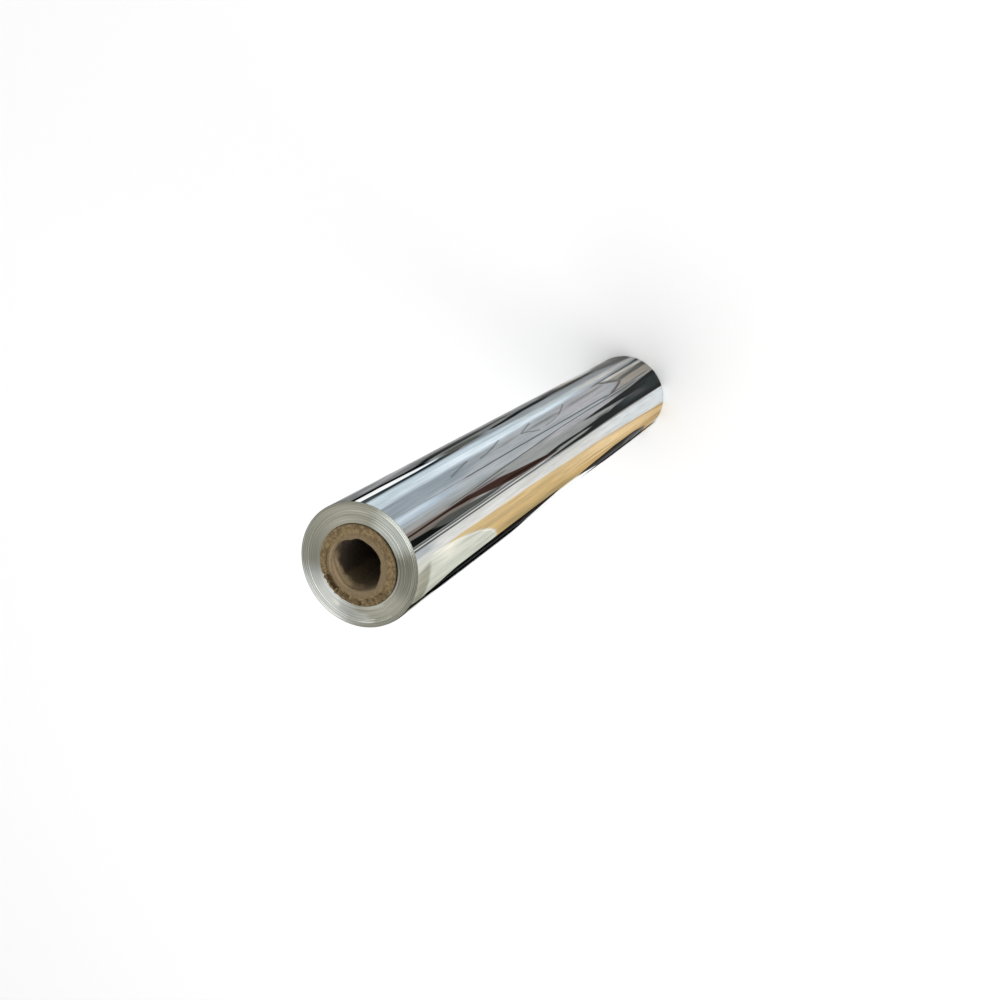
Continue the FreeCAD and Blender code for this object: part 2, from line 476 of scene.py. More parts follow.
# Colours of what the bright side mirrors
PALETTE = {
    "black": (19, 22, 21),
    "charcoal": (38, 41, 40),
    "teal dark": (52, 60, 61),
    "slate": (76, 78, 76),
    "navy": (50, 60, 70),
    "slate blue": (72, 82, 90),
    "dusk": (92, 97, 98),
    "grey": (116, 117, 113),
    "stone": (134, 134, 131),
    "silver": (150, 152, 151),
    "steel": (144, 153, 160),
    "sky": (168, 173, 176),
    "haze": (158, 165, 169),
    "frost": (194, 202, 204),
    "lilac": (178, 178, 182),
    "blue": (178, 194, 208),
    "ice": (197, 209, 216),
    "bright": (223, 233, 239),
    "cool white": (222, 227, 230),
    "white": (250, 251, 251),
    "brown": (64, 46, 41),
    "dark brown": (36, 26, 22),
    "taupe": (117, 109, 103),
    "mauve": (136, 126, 129),
    "sand": (174, 168, 159),
    "linen": (208, 208, 205),
    "paper": (204, 206, 196),
    "cream": (230, 228, 216),
    "shaded paper": (168, 167, 154),
    "straw": (206, 182, 138),
    "pale straw": (230, 208, 168),
    "dull straw": (186, 169, 134),
}

# Painted reflections and highlights down the bright side, as streaks painted in this order. Each has its
# colour, its softness in degrees, how far it fades in and out in millimetres, and its shape: depth below
# the top, left edge, right edge.
REFLECTION_STREAKS = (
    ("sky", 3.0, 0, ((0, -92, -33), (600, -90, -33))),
    ("haze", 3.0, 60, ((0, -91, -81), (190, -90, -80))),
    ("blue", 3.5, 60, ((0, -81, -73.5), (110, -79, -74.5))),
    ("ice", 2.0, 40, ((0, -79, -75.2), (70, -77.4, -74.8))),
    ("steel", 2.5, 60, ((0, -72.5, -58.5), (110, -72, -58), (180, -67, -58))),
    ("haze", 2.5, 60, ((110, -72, -57), (210, -67, -57))),
    ("lilac", 3.0, 60, ((290, -75, -58), (400, -76, -56), (490, -76, -56))),
    ("sand", 2.5, 30, ((470, -78, -55), (600, -79, -56))),
    ("ice", 4.5, 170, ((0, -58.6, -44.5), (160, -58.2, -43), (330, -55.8, -42), (520, -55, -42))),
    ("frost", 3.0, 60, ((230, -49.6, -41.5), (600, -49.4, -41.5))),
    ("bright", 2.6, 110, ((25, -54.5, -49), (70, -55.8, -48.6), (180, -56, -49.6),
                          (330, -54, -50.6), (430, -53, -51))),
    ("linen", 3.0, 50, ((395, -53, -42), (600, -49, -42.5))),
    ("steel", 2.0, 30, ((0, -44.5, -38), (60, -43.5, -38), (140, -42, -38))),
    ("haze", 2.5, 40, ((130, -42, -33), (600, -43, -33))),
    ("sky", 3.0, 40, ((205, -43.5, -36), (300, -43.5, -34.5), (400, -43.5, -33), (500, -43.5, -34.5),
                      (545, -43.5, -38))),

    # Right side, from the rim down
    ("silver", 3.0, 0, ((0, -33, 4), (600, -36, 4))),
    ("lilac", 2.5, 12, ((12, -28, -23.5), (40, -27.6, -23), (62, -25, -18.5), (84, -22, -13),
                        (108, -19.5, -8))),
    ("dusk", 1.6, 10, ((0, -44, -38.8), (60, -42.8, -38.6), (130, -41.8, -37.6), (160, -40.8, -37.6))),
    ("slate blue", 1.0, 12, ((14, -42.6, -40.8), (60, -42, -40.4), (115, -40.6, -38.4))),
    ("grey", 1.8, 20, ((120, -40.5, -33), (165, -39.4, -32), (215, -38, -33))),
    ("slate", 2.6, 20, ((92, -33, -28.5), (130, -30.5, -23.5), (185, -29, -21.5), (240, -27, -22),
                        (300, -24, -21))),
    ("slate", 1.6, 14, ((214, -37, -34.4), (255, -36.4, -31.8), (290, -35, -28))),
    ("teal dark", 2.0, 20, ((262, -35, -30), (300, -33.6, -27.4), (345, -33.6, -26), (378, -32, -26.6))),
    ("slate", 3.0, 14, ((352, -31, -20), (430, -32.4, -20), (460, -32, -26), (520, -31, -26.5))),
    ("sand", 3.0, 24, ((396, -24, -8), (460, -25, -8), (540, -22, -8))),
    ("stone", 3.0, 26, ((486, -32, -26), (545, -39, -14), (600, -43, -8))),
    ("linen", 3.0, 30, ((430, -21.5, 0), (480, -23, 0), (545, -18, 0))),
    ("charcoal", 0.9, 0, ((0, -33.6, -29.8), (50, -33.6, -30.2))),
    ("navy", 0.9, 14, ((30, -33.8, -30), (75, -34.2, -30.8), (115, -35.2, -29))),
    ("white", 1.2, 0, ((0, -38.9, -33.7), (40, -39.4, -33.9), (80, -39, -35.4), (108, -38.2, -36.4),
                       (122, -37.5, -37.2))),

    # Fine tones of the middle
    ("steel", 1.6, 30, ((30, -66.8, -64.4), (110, -66.2, -64))),
    ("steel", 1.4, 30, ((0, -62.6, -60), (80, -61.8, -59.6))),
    ("silver", 1.6, 25, ((175, -66.2, -63.4), (240, -65.4, -63))),
    ("silver", 1.8, 30, ((240, -66.8, -63), (330, -66, -62.6))),
    ("silver", 1.8, 25, ((340, -65, -61.6), (462, -64.4, -61))),
    ("silver", 1.4, 12, ((420, -62.2, -60.4), (462, -63.2, -61))),
    ("grey", 1.2, 12, ((428, -57.8, -56.2), (462, -56.8, -55))),

    # Pale stripe and warm band on the left
    ("linen", 1.0, 0, ((0, -121, -106.5), (600, -132, -106.2))),
    ("cool white", 3.0, 150, ((330, -119.5, -107), (600, -129.5, -107.4))),
    ("sky", 3.5, 18, ((0, -114, -104), (36, -113, -104))),
    ("straw", 1.1, 0, ((0, -151, -118.4), (36, -151, -117.8), (70, -151, -116.6),
                       (200, -151, -117.4), (400, -151, -121.6), (500, -151, -126),
                       (530, -178, -127.4), (600, -178, -130.6))),
    ("pale straw", 2.5, 150, ((240, -137, -121), (420, -139, -123.5), (600, -142, -134))),
    ("dull straw", 3.0, 40, ((120, -150, -137.5), (250, -150, -139), (350, -150, -144))),
    ("dull straw", 1.0, 30, ((90, -128.6, -127.4), (260, -129.8, -128.6))),
    ("dull straw", 1.0, 40, ((300, -134.4, -133), (520, -138.6, -137.2))),
    ("dull straw", 2.0, 30, ((430, -150, -146.6), (540, -150, -146.6))),
)

# The pale patch over the warm band, a painted reflection, ends in an oval: its centre and reach in degrees
# and millimetres
PALE_REFLECTION_OVAL = (-147.5, 20, 30.4, 117)
PATCH_REFLECTION_STREAKS = (
    ("cream", 6.0, 30, ((18, -130, -112), (80, -131, -112))),
    ("shaded paper", 4.0, 3, ((0, -180, -127), (20, -180, -122))),
)

# Painted reflections, mostly dark, over both, on the left side, and of what the back mirrors
DARK_REFLECTION_STREAKS = (
    ("white", 2.0, 14, ((192, -173, -164), (232, -173, -157), (272, -173, -150.6),
                        (318, -173, -150.2), (372, -173, -155), (466, -173, -168))),
    ("black", 1.1, 8, ((18, -158.8, -157.4), (30, -161, -156), (44, -164, -154), (56, -168, -151.2),
                       (68, -172, -149.4), (90, -175, -148.7), (120, -176.5, -148.3), (150, -176, -148),
                       (175, -170, -147.8), (200, -163.5, -147.6), (225, -157.5, -147.6),
                       (250, -152.5, -147.7), (280, -149.6, -147.8))),
    ("teal dark", 2.0, 20, ((44, -158, -154.4), (140, -158, -152.5))),
    ("brown", 2.0, 20, ((172, -154, -149.5), (262, -151, -148.4))),
    ("teal dark", 1.2, 10, ((328, -151, -149.4), (372, -156.5, -146.6), (430, -166, -143.8),
                            (500, -174, -144.6), (548, -168, -150))),
    ("dark brown", 1.6, 20, ((340, -152, -148.4), (380, -156, -147.4), (430, -158, -147.6))),
    ("black", 2.0, 24, ((400, -160, -146), (484, -166, -147))),
    ("stone", 1.4, 10, ((470, -157, -154), (512, -149.4, -146.4))),
    ("sand", 1.2, 8, ((496, -163, -160), (520, -156, -153), (538, -150, -147.4))),
    ("sand", 1.2, 8, ((520, -168, -165), (546, -158, -155.4))),
    ("cream", 2.4, 14, ((552, -178, -170), (578, -178, -161), (600, -178, -152))),
    ("silver", 0.8, 0, ((0, -106.6, -84.5), (150, -106.2, -84.5), (600, -106.6, -79))),
    ("lilac", 2.4, 40, ((250, -87, -81), (440, -86.6, -82), (480, -85, -82))),
    ("taupe", 1.6, 40, ((0, -99, -89.4), (70, -98, -90), (150, -94, -88))),
    ("slate", 0.7, 0, ((0, -107.5, -106.1), (150, -106, -105), (262, -104.9, -104),
                       (300, -104.9, -104))),
    ("slate", 0.7, 20, ((0, -104.5, -103.4), (140, -103.3, -102.3), (210, -102.3, -101.4))),
    ("black", 0.8, 6, ((0, -102.8, -96.6), (22, -102.6, -97.2), (60, -102.2, -98.2),
                       (95, -101.2, -100.2))),
    ("slate", 0.9, 12, ((30, -98.6, -96.4), (60, -101.8, -95.4), (110, -102, -97.6),
                        (158, -100.6, -99.6))),
    ("brown", 0.7, 12, ((0, -93.8, -92.2), (62, -92.8, -90.8), (100, -94.5, -89.7),
                        (124, -97, -89.6), (150, -99.6, -91.4), (180, -101, -94),
                        (220, -101.9, -96.6), (250, -102, -98.8), (282, -101.2, -100))),
    ("dark brown", 1.0, 20, ((0, -93.5, -92.5), (70, -92.9, -91.6), (112, -93.8, -92))),
    ("dark brown", 1.2, 20, ((150, -98.6, -96.4), (276, -101, -99.4))),
    ("mauve", 1.0, 12, ((96, -90.6, -89.4), (130, -91, -89), (156, -92.4, -91))),
    ("slate", 0.6, 12, ((104, -90.3, -89.6), (176, -89.4, -88.6))),
    ("charcoal", 0.7, 8, ((252, -104.6, -103.6), (300, -104.9, -102.3), (344, -105.5, -101.6),
                          (386, -105, -98.8), (440, -104.6, -94.6), (520, -105.2, -92.8),
                          (600, -106.6, -92))),
    ("charcoal", 0.7, 8, ((246, -100.4, -98.8), (280, -99.9, -96.8), (340, -99.3, -97.2),
                          (400, -101, -95.6), (424, -99, -96))),
    ("slate", 0.6, 12, ((378, -95.6, -94.6), (430, -94.8, -93.6))),
    ("charcoal", 0.7, 8, ((352, -89.4, -89), (392, -90.4, -87.6), (450, -91.6, -86),
                          (500, -92.6, -84.4), (560, -94, -81.4), (600, -94, -79.8))),
    ("teal dark", 2.4, 30, ((440, -99.8, -96.6), (520, -100.5, -88), (600, -101, -84))),
    ("navy", 1.2, 30, ((452, -102, -100), (500, -101, -98.6))),
    ("slate", 3.0, 30, ((476, -98.4, -92.6), (556, -97.6, -93.6))),
    ("dusk", 0.7, 16, ((430, -93.8, -92.8), (536, -93.2, -92.2))),
    ("charcoal", 1.4, 20, ((470, -91.6, -88.6), (572, -91, -88))),
    ("grey", 0.9, 14, ((434, -83, -80.8), (500, -81.9, -80), (540, -80.2, -78.8))),
    ("grey", 0.9, 14, ((424, -80.2, -78.4), (500, -78.8, -77.4), (590, -77.6, -76))),
    ("mauve", 0.8, 8, ((450, -79.4, -77.4), (470, -77.4, -74.6), (490, -73.6, -70.2),
                       (504, -70.6, -68))),
    ("stone", 1.4, 10, ((450, -58.4, -54), (468, -63, -58.6), (486, -67.4, -62.4), (504, -70.4, -65))),
    ("grey", 1.6, 16, ((490, -69.6, -65.4), (540, -68.4, -63.4), (600, -67, -60))),
    ("linen", 1.4, 20, ((462, -60, -56.6), (600, -60, -56.4))),
    ("dusk", 1.0, 12, ((448, -56.2, -55.2), (520, -55.6, -54), (566, -55, -52.8),
                       (600, -54.8, -51.2))),

    # The back, which mirrors the same room
    ("dusk", 1.4, 0, ((0, 5, 21), (600, 9, 18))),
    ("ice", 1.6, 0, ((0, 29, 40), (600, 32, 44))),
    ("slate", 0.6, 40, ((0, 46, 49), (430, 52, 50))),
    ("sky", 1.6, 0, ((0, 53, 84), (600, 50, 88))),
    ("steel", 1.2, 60, ((60, 66, 71), (520, 62, 70))),
    ("charcoal", 0.6, 0, ((0, 86, 97), (600, 96, 90.6))),
    ("teal dark", 0.6, 0, ((0, 102, 88), (600, 88, 102))),
    ("linen", 1.0, 0, ((0, 104, 121), (600, 108, 118))),
    ("straw", 1.4, 0, ((0, 122, 138), (600, 118, 142))),
    ("slate", 1.2, 0, ((0, 146, 157), (600, 150, 153))),
)

# How far a thin line fades in and out, and how far a crease reaches to each side, in millimetres
LINE_FADE = 12
CREASE_REACH = 1.1

# The painted colours are made lighter by this, because the brushed grain over them darkens
PAINT_GAIN = 1.2

# Thin lines down the side, painted reflections and painted shade: colour, half width in degrees, then
# depth and angle along the line
LINES = (
    ("dusk", 0.5, ((60, -89.2), (110, -88), (150, -86.4), (220, -84), (300, -81.6), (380, -81),
                   (446, -81.4))),
    ("steel", 0.5, ((0, -72.8), (70, -74), (130, -74.5))),
    ("dusk", 0.6, ((105, -74.4), (220, -75), (300, -76.2), (380, -77.2), (446, -77.8))),
    ("stone", 0.4, ((250, -64), (330, -63.6))),
    ("mauve", 0.5, ((276, -71), (300, -69.8), (322, -66.6))),
    ("linen", 0.4, ((0, -105.4), (140, -104.2), (250, -103.4))),
    # Painted shade of the gap under the free edge's tip
    ("dusk", 0.2, ((0, -161.9), (200, -161.9))),
    ("dusk", 0.2, ((392, -161.9), (600, -161.9))),
    ("cream", 0.6, ((22, -117.6), (60, -120.2), (100, -126.4), (122, -134), (138, -146))),
)

# Lobes of light on the end faces: colour, middle angle, half of the full and of the whole spread in
# degrees, lowest and highest radius in millimetres
END_LOBES = (
    ((101, 100, 91), -133, 12, 34, 28.0, 44.0),
    ((158, 162, 155), -82, 10, 32, 28.0, 44.0),
    ((150, 151, 147), 98, 24, 48, 28.0, 44.0),
    ((176, 178, 173), 98, 14, 32, 28.0, 44.0),
    ((194, 196, 191), 99, 6, 22, 29.0, 38.0),
    ((140, 141, 134), 142, 4, 20, 34.0, 41.0),
    ((186, 188, 182), -84, 12, 24, 41.3, 41.5),
    ((178, 180, 174), -84, 8, 20, 42.5, 42.7),
    ((196, 196, 188), 108, 8, 20, 42.1, 42.5),
    ((204, 204, 196), 113, 2, 8, 33.0, 35.4),
    ((172, 172, 164), 150, 5, 12, 39.6, 39.9),
    ((172, 172, 164), 156, 4, 10, 38.0, 38.2),
    ((160, 161, 153), -62, 6, 20, 39.2, 39.4),
)

# Creases pressed into the outer turn: each a path of angle in degrees and height in millimetres
CREASES = (
    ((-66.2, 502), (-65.2, 495), (-62.8, 482), (-60.2, 465)),
    ((-64.8, 448), (-63.8, 434), (-61.6, 420), (-59.5, 410), (-57.0, 399)),
    ((-71.2, 331), (-69.2, 342), (-66.0, 350), (-64.0, 363), (-61.6, 353), (-57.8, 333)),
    ((-66.6, 278), (-63.0, 265), (-60.5, 257), (-57.8, 250)),
    ((-78.4, 147), (-76.5, 130), (-72.4, 109), (-69.0, 99), (-66.2, 114), (-61.2, 136), (-55.4, 150)),
)


def edge_ramp(graph, depth, fade, shape):
    """Left edge, right edge and strength of a streak at a depth, the edges in turns from -180 degrees."""
    rows = np.array(shape, dtype=float)
    first, last = rows[0, 0], rows[-1, 0]
    starts_inside, ends_inside = first > 0, last < FOIL_WIDTH_MM - 1
    run = max(fade, 1)
    stops = set(rows[:, 0])
    if starts_inside:
        stops.add(first + run)
    if ends_inside:
        stops.add(last - run)
    node = graph.node("ShaderNodeValToRGB", {0: depth})
    ramp = node.color_ramp
    ramp.interpolation = "LINEAR"
    for index, stop in enumerate(sorted(stops)):
        left = np.interp(stop, rows[:, 0], rows[:, 1])
        right = np.interp(stop, rows[:, 0], rows[:, 2])
        strength = 1.0
        if starts_inside:
            strength = min(strength, (stop - first) / run)
        if ends_inside:
            strength = min(strength, (last - stop) / run)
        place = stop / FOIL_WIDTH_MM
        element = ramp.elements[index] if index < 2 else ramp.elements.new(place)
        element.position = place
        element.color = ((left + 180) / 360, (right + 180) / 360, max(strength, 0.0), 1.0)
    split = graph.node("ShaderNodeSeparateColor", {0: node.outputs[0]})
    return split.outputs[0], split.outputs[1], split.outputs[2]


def streak_mask(graph, turns, depth, soft, fade, shape):
    """1 inside a streak, with soft sides and faded ends."""
    left, right, strength = edge_ramp(graph, depth, fade, shape)
    half = soft / 2 / 360
    from_left = graph.calc("SUBTRACT", turns, left)
    from_right = graph.calc("SUBTRACT", right, turns)
    return graph.step(graph.calc("MINIMUM", from_left, from_right), -half, half, 0.0, strength)


def reaches(soft, shape, zone):
    """Whether a streak comes into a zone, with some room for its soft sides."""
    room = 1.0 + soft
    left = min(left for stop, left, right in shape)
    right = max(right for stop, left, right in shape)
    return left - room < zone[1] and right + room > zone[0]


def paint(graph, shade, turns, depth, streaks, zone):
    """Shade with the streaks that reach a zone painted over it in their order."""
    for tint, soft, fade, shape in streaks:
        if reaches(soft, shape, zone):
            mask = streak_mask(graph, turns, depth, soft, fade, shape)
            shade = graph.mix(mask, shade, colour(*PALETTE[tint]))
    return shade


def oval_mask(graph, angle, depth, oval, soft):
    """1 inside an oval on the side."""
    middle_angle, middle_depth, reach_angle, reach_depth = oval
    across = graph.calc("DIVIDE", graph.calc("SUBTRACT", angle, middle_angle), reach_angle)
    along = graph.calc("DIVIDE", graph.calc("SUBTRACT", depth, middle_depth), reach_depth)
    out = graph.vector("LENGTH", graph.join(across, along, 0.0), None, 1)
    return graph.step(out, 1 - soft, 1 + soft, 1.0, 0.0)


def crease_mask(graph, angle, depth, creases, half_width):
    """1 along the creases, fading to their sides."""
    across = graph.calc("MULTIPLY", angle, math.radians(ROLL_RADIUS / MM))
    up = graph.calc("SUBTRACT", FOIL_WIDTH_MM, depth)
    here = graph.join(across, up, 0.0)
    nearest = None
    for path in creases:
        for first, second in zip(path, path[1:]):
            start = Vector((math.radians(first[0]) * ROLL_RADIUS / MM, first[1], 0))
            finish = Vector((math.radians(second[0]) * ROLL_RADIUS / MM, second[1], 0))
            run = finish - start
            away = graph.vector("SUBTRACT", here, tuple(start))
            along = graph.vector("DOT_PRODUCT", away, tuple(run / run.length_squared), 1)
            share = graph.node("ShaderNodeClamp", {"Value": along}).outputs[0]
            reach = graph.node("ShaderNodeVectorMath", {0: tuple(run), "Scale": share}, operation="SCALE")
            distance = graph.vector("DISTANCE", away, reach.outputs[0], 1)
            nearest = distance if nearest is None else graph.calc("MINIMUM", nearest, distance)
    return graph.step(nearest, 0.0, half_width, 1.0, 0.0)


def bright_foil(number):
    """The bright side of the foil in one zone, with its painted reflections as streaks and thin lines, and
    creases with painted shade.
    """
    zone = ZONES[number:number + 2]
    graph = Graph(f"foil_bright_{number + 1}")
    x, y, z, point = graph.place()
    angle = graph.calc("DEGREES", graph.calc("ARCTAN2", y, x))
    depth_mm = graph.calc("MULTIPLY_ADD", z, -1 / MM, FOIL_WIDTH_MM)
    depth = graph.calc("DIVIDE", depth_mm, FOIL_WIDTH_MM)
    long_grain = graph.join(x, y, graph.calc("MULTIPLY", z, 0.03))
    wander = graph.noise(graph.join(x, y, graph.calc("MULTIPLY", z, 0.5)), 38.0, 2.0)
    angle = graph.calc("MULTIPLY_ADD", graph.calc("SUBTRACT", wander, 0.5), 0.9, angle)
    turns = graph.calc("MULTIPLY_ADD", angle, 1 / 360, 0.5)

    # Long grey streaks along the roll under all the rest, a painted reflection
    tone = graph.step(graph.noise(long_grain, 75.0, 2.0), 0.35, 0.65)
    shade = graph.mix(tone, colour(132, 135, 136), colour(206, 208, 209))
    shade = paint(graph, shade, turns, depth, REFLECTION_STREAKS, zone)
    if zone[0] < PALE_REFLECTION_OVAL[0] + PALE_REFLECTION_OVAL[2]:
        patch = paint(graph, colour(*PALETTE["paper"]), turns, depth, PATCH_REFLECTION_STREAKS, zone)
        shade = graph.mix(oval_mask(graph, angle, depth_mm, PALE_REFLECTION_OVAL, 0.025), shade, patch)
    shade = paint(graph, shade, turns, depth, DARK_REFLECTION_STREAKS, zone)
    for tint, half, path in LINES:
        shape = [(stop, middle - half, middle + half) for stop, middle in path]
        shade = paint(graph, shade, turns, depth, [(tint, half, LINE_FADE, shape)], zone)

    scratch = graph.noise(long_grain, 1100.0, 2.0)
    height = scratch
    creases = [path for path in CREASES if path[0][0] < zone[1] + 1 and path[-1][0] > zone[0] - 1]
    if creases:
        crease = crease_mask(graph, angle, depth_mm, creases, CREASE_REACH)
        # Painted shade along the creases, over their real dents in the bump
        shade = graph.mix(graph.calc("MULTIPLY", crease, 0.6), shade, colour(74, 76, 78))
        height = graph.calc("MULTIPLY_ADD", crease, -2.0, scratch)
    brush = graph.noise(long_grain, 320.0, 3.0, 0.6)
    shade = graph.mix(graph.step(brush, 0.35, 0.65, 0.0, 0.22), shade, colour(140, 142, 143), "MULTIPLY")
    shade = graph.mix(graph.step(scratch, 0.35, 0.65, 0.0, 0.14), shade, colour(96, 98, 100), "MULTIPLY")
    shade = graph.mix(1.0, shade, (PAINT_GAIN,) * 3 + (1.0,), "MULTIPLY")

    rough = graph.step(graph.noise(point, 55.0), 0.3, 0.7, 0.13, 0.22)
    bend = graph.bump(height, 0.25, 0.05 * MM)
    sideways = graph.calc("POWER", graph.calc("DIVIDE", x, ROLL_RADIUS), 2.0)
    grazing = graph.mix(graph.calc("MULTIPLY_ADD", sideways, -0.5, 0.5), shade, (1.0, 1.0, 1.0, 1.0))
    return graph.finish(Base_Color=shade, Specular_Tint=grazing, Metallic=1.0, Roughness=rough, Normal=bend)


def cut_foil():
    """The cut edges of the turns at the ends: satin, with fine rings and painted lobes of highlight and
    shade.
    """
    graph = Graph("foil_cut_edges")
    x, y, z, point = graph.place()
    radius = graph.vector("LENGTH", graph.join(x, y, 0.0), None, 1)
    angle = graph.calc("DEGREES", graph.calc("ARCTAN2", y, x))
    turns = graph.calc("MULTIPLY_ADD", angle, 0.05 * MM / 360, radius)
    fine = graph.noise(graph.join(turns, 0.0, 0.0), 1900.0, 3.0, 0.7)
    broad = graph.noise(graph.join(turns, graph.calc("MULTIPLY", angle, 0.00002), 0.0), 420.0, 2.0)
    patch = graph.noise(point, 60.0, 2.0)
    wavy = graph.calc("MULTIPLY_ADD", graph.calc("SUBTRACT", patch, 0.5), 16.0, angle)
    shade = colour(119, 118, 107)
    # Painted highlights and painted shade, lobe by lobe
    for tint, middle, inner, outer, low, high in END_LOBES:
        away = graph.calc("ABSOLUTE", graph.calc("SUBTRACT", wavy, middle))
        across = graph.step(away, inner, outer, 1.0, 0.0)
        half = (high - low) / 2 * MM
        from_middle = graph.calc("ABSOLUTE", graph.calc("SUBTRACT", radius, low * MM + half))
        within = graph.step(from_middle, half, half + 0.4 * MM, 1.0, 0.0)
        shade = graph.mix(graph.calc("MULTIPLY", across, within), shade, colour(*tint))
    shade = graph.mix(graph.step(fine, 0.25, 0.75, 0.15, 0.0), shade, colour(96, 96, 88))
    shade = graph.mix(graph.step(broad, 0.5, 0.75, 0.0, 0.25), shade, colour(190, 192, 188))
    bend = graph.bump(graph.calc("ADD", fine, broad), 0.12, 0.04 * MM)
    tangent = graph.node("ShaderNodeTangent", direction_type="RADIAL", axis="Z").outputs[0]
    graph.finish(Tangent=tangent, Normal=bend)
    return graph.finish(Base_Color=shade, Metallic=1.0, Roughness=0.4, Anisotropic=0.6)


def paperboard():
    """Rough brown paperboard of the core, paler and smoother at the lip, with its plies, and painted light
    and shade at the ridges, hollows, mouth and bore.
    """
    graph = Graph("core_board")
    x, y, z, point = graph.place()
    radius = graph.vector("LENGTH", graph.join(x, y, 0.0), None, 1)
    angle = graph.calc("DEGREES", graph.calc("ARCTAN2", y, x))
    mottle = graph.noise(point, 430.0, 4.0, 0.62)
    fibre = graph.noise(point, 1700.0, 3.0, 0.7)
    shade = graph.mix(graph.step(mottle, 0.36, 0.64), colour(78, 62, 33), colour(122, 104, 70))
    shade = graph.mix(graph.step(fibre, 0.35, 0.75, 0.0, 0.3), shade, colour(142, 122, 92))

    uneven = graph.calc("MULTIPLY_ADD", mottle, 2.4 * MM, radius)
    lip = graph.step(uneven, 21.6 * MM, 24.6 * MM, 1.0, 0.0)
    shade = graph.mix(graph.calc("MULTIPLY", lip, 0.75), shade, colour(112, 96, 71))
    ply = graph.noise(graph.join(radius, 0.0, 0.0), 850.0, 1.0)
    shade = graph.mix(graph.step(ply, 0.52, 0.68, 0.0, 0.25), shade, colour(82, 64, 40))
    # A pale line and a dark line near the lip: painted highlight on a ridge and painted shade in the groove
    # outside it
    for tint, place, half in ((colour(146, 126, 100), 22.2, 0.5), (colour(70, 54, 34), 24.6, 0.45)):
        beside = graph.calc("ABSOLUTE", graph.calc("SUBTRACT", uneven, place * MM))
        ridge = graph.step(beside, half * 0.4 * MM, half * 1.6 * MM, 0.6, 0.0)
        turned = graph.calc("ABSOLUTE", graph.calc("SUBTRACT", angle, 46.0))
        spread = graph.step(turned, 22.0, 36.0, 1.0, 0.0)
        shade = graph.mix(graph.calc("MULTIPLY", ridge, spread), shade, tint)

    # Painted shade: darker where the end lies deeper, in the torn part and its crevices outside the lip
    recess_shade = graph.step(z, CORE_TOP - 2.4 * MM, CORE_TOP - 0.7 * MM, 1.0, 0.0)
    outer = graph.step(radius, 22.0 * MM, 23.0 * MM)
    shade = graph.mix(graph.calc("MULTIPLY", recess_shade, outer), shade, colour(72, 55, 26))

    rough_z = graph.calc("MULTIPLY_ADD", graph.noise(point, 160.0), 9 * MM, z)
    rough_z = graph.calc("MULTIPLY_ADD", y, 0.2, rough_z)
    rough_z = graph.calc("MULTIPLY_ADD", x, -0.09, rough_z)
    within = graph.step(rough_z, CORE_TOP - 3.0 * MM, CORE_TOP + 3.0 * MM, 1.0, 0.0)
    under_lip = graph.step(z, CORE_TOP - 2.2 * MM, CORE_TOP - 0.8 * MM, 1.0, 0.0)
    within = graph.calc("MULTIPLY", within, under_lip)
    seam_turns = graph.calc("MULTIPLY_ADD", z, 3600.0, angle)
    seam = graph.calc("PINGPONG", seam_turns, 60.0)
    seam_line = graph.calc("MULTIPLY", graph.step(seam, 0.0, 3.0, 1.0, 0.0), within)
    wall = graph.calc("MULTIPLY", within, graph.step(radius, 19.6 * MM, 20.8 * MM, 1.0, 0.0))
    # Painted light on the side of the mouth's wall that light reaches, dimmer deeper down as painted shade
    lit = graph.step(y, 5.0 * MM, 15.5 * MM)
    lit = graph.calc("MULTIPLY", lit, graph.step(radius, 18.0 * MM, 19.4 * MM, 0.8, 0.0))
    ragged = graph.calc("MULTIPLY_ADD", mottle, 12.0, angle)
    lit = graph.calc("MULTIPLY", lit, graph.step(ragged, 120.0, 132.0, 1.0, 0.3))
    deeper = graph.step(z, CORE_TOP - 3.6 * MM, CORE_TOP - 0.8 * MM, 1.0, 0.0)
    painted_lit_wall = graph.mix(deeper, colour(140, 120, 90), colour(196, 172, 134))
    shade = graph.mix(lit, shade, painted_lit_wall)
    # Painted shade down the bore inside the mouth: darkest at the lower angles, lighter past about 100
    # degrees
    bore_shade_edge = graph.step(graph.calc("MULTIPLY_ADD", mottle, 16.0, angle), 92.0, 106.0)
    bore_shade = graph.mix(bore_shade_edge, colour(40, 28, 15), colour(84, 70, 46))
    shade = graph.mix(graph.calc("MULTIPLY", wall, 0.95), shade, bore_shade)
    shade = graph.mix(graph.calc("MULTIPLY", seam_line, 0.5), shade, colour(38, 28, 16))

    height = graph.calc("ADD", graph.calc("MULTIPLY", mottle, 2.0), fibre)
    bend = graph.bump(height, 0.9, 0.45 * MM)
    return graph.finish(Base_Color=shade, Roughness=0.92, Normal=bend)


# The studio

def floor_board():
    """Plain pale floor that keeps the roll's shadow."""
    size = 6.0
    mesh = bpy.data.meshes.new("floor")
    corners = [(-size, -size, 0.0), (size, -size, 0.0), (size, size, 0.0), (-size, size, 0.0)]
    mesh.from_pydata(corners, [], [(0, 1, 2, 3)])
    floor = bpy.data.objects.new("floor", mesh)
    bpy.context.scene.collection.objects.link(floor)
    graph = Graph("floor_pale")
    mesh.materials.append(graph.finish(Base_Color=(0.93, 0.93, 0.93, 1.0), Roughness=1.0))


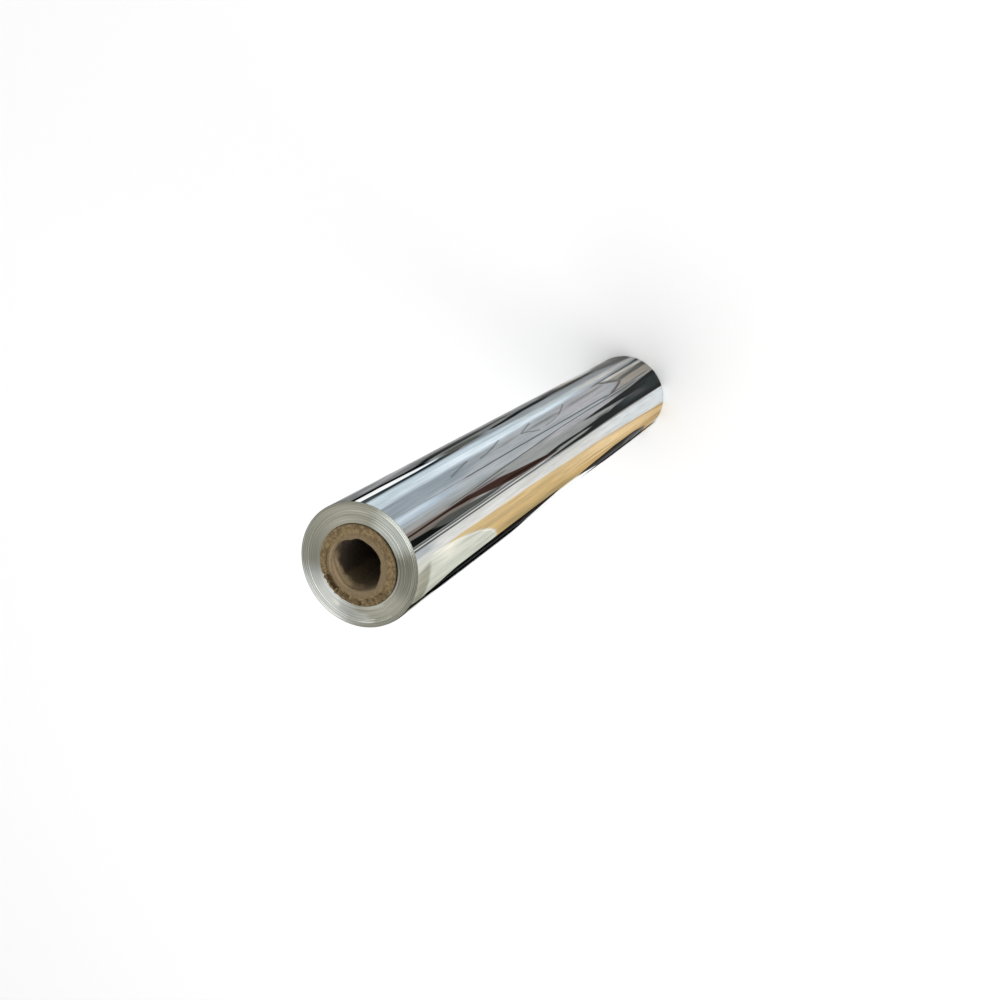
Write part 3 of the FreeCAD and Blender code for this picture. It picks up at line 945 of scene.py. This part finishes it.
def studio_world():
    """Even soft light, and a white background for the eye and for the metal."""
    world = bpy.data.worlds.new("studio")
    world.use_nodes = True
    nodes, links = world.node_tree.nodes, world.node_tree.links
    path = nodes.new("ShaderNodeLightPath")
    seen = nodes.new("ShaderNodeMath")
    seen.operation = "MAXIMUM"
    links.new(path.outputs["Is Camera Ray"], seen.inputs[0])
    shown = nodes.new("ShaderNodeMath")
    shown.operation = "MAXIMUM"
    links.new(path.outputs["Is Glossy Ray"], seen.inputs[1])
    links.new(seen.outputs[0], shown.inputs[0])
    links.new(path.outputs["Is Transmission Ray"], shown.inputs[1])
    strength = nodes.new("ShaderNodeMapRange")
    links.new(shown.outputs[0], strength.inputs["Value"])
    strength.inputs["To Min"].default_value = 0.84
    strength.inputs["To Max"].default_value = 1.0
    links.new(strength.outputs[0], nodes["Background"].inputs["Strength"])
    nodes["Background"].inputs["Color"].default_value = (1.0, 1.0, 1.0, 1.0)
    bpy.context.scene.world = world


def soft_lamp(name, place, aim, size, power):
    """Square soft lamp that points at a place."""
    lamp = bpy.data.lights.new(name, "AREA")
    lamp.shape = "SQUARE"
    lamp.size = size
    lamp.energy = power
    holder = bpy.data.objects.new(name, lamp)
    holder.location = place
    holder.rotation_euler = (Vector(aim) - Vector(place)).to_track_quat("-Z", "Y").to_euler()
    bpy.context.scene.collection.objects.link(holder)


def photo_camera():
    """Camera at the photograph's angle, turned about its view line as the photograph is."""
    camera = bpy.data.cameras.new("camera")
    camera.lens = CAMERA_LENS
    camera.sensor_width = 36.0
    camera.sensor_fit = "HORIZONTAL"
    camera.clip_end = 50.0
    holder = bpy.data.objects.new("camera", camera)
    upright = (Vector(CAMERA_AIM) - Vector(CAMERA_PLACE)).to_track_quat("-Z", "Y").to_matrix().to_4x4()
    roll = Matrix.Rotation(math.radians(CAMERA_ROLL), 4, "Z")
    holder.matrix_world = Matrix.Translation(CAMERA_PLACE) @ upright @ roll
    bpy.context.scene.collection.objects.link(holder)
    bpy.context.scene.camera = holder


photo_camera()
studio_world()
floor_board()
soft_lamp("lamp_high", (-0.15, 0.25, 2.6), (0.0, 0.0, 0.3), 0.9, 16.0)
soft_lamp("lamp_left", (-1.8, -0.9, 1.6), (0.0, 0.0, 0.3), 1.0, 9.0)

sides = [bright_foil(number) for number in range(len(ZONES) - 1)]
ends = cut_foil()
board = paperboard()

wound = wound_foil()
edge = free_edge()
for side in sides:
    wound.data.materials.append(side)
    edge.data.materials.append(side)
wound.data.materials.append(ends)
core = paper_core()
core.data.materials.append(board)

for piece in (wound, edge):
    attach(piece, "root")
    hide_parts("foil_roll")
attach(core, "root")
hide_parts("core_tube")

bpy.context.scene.view_settings.view_transform = "Standard"
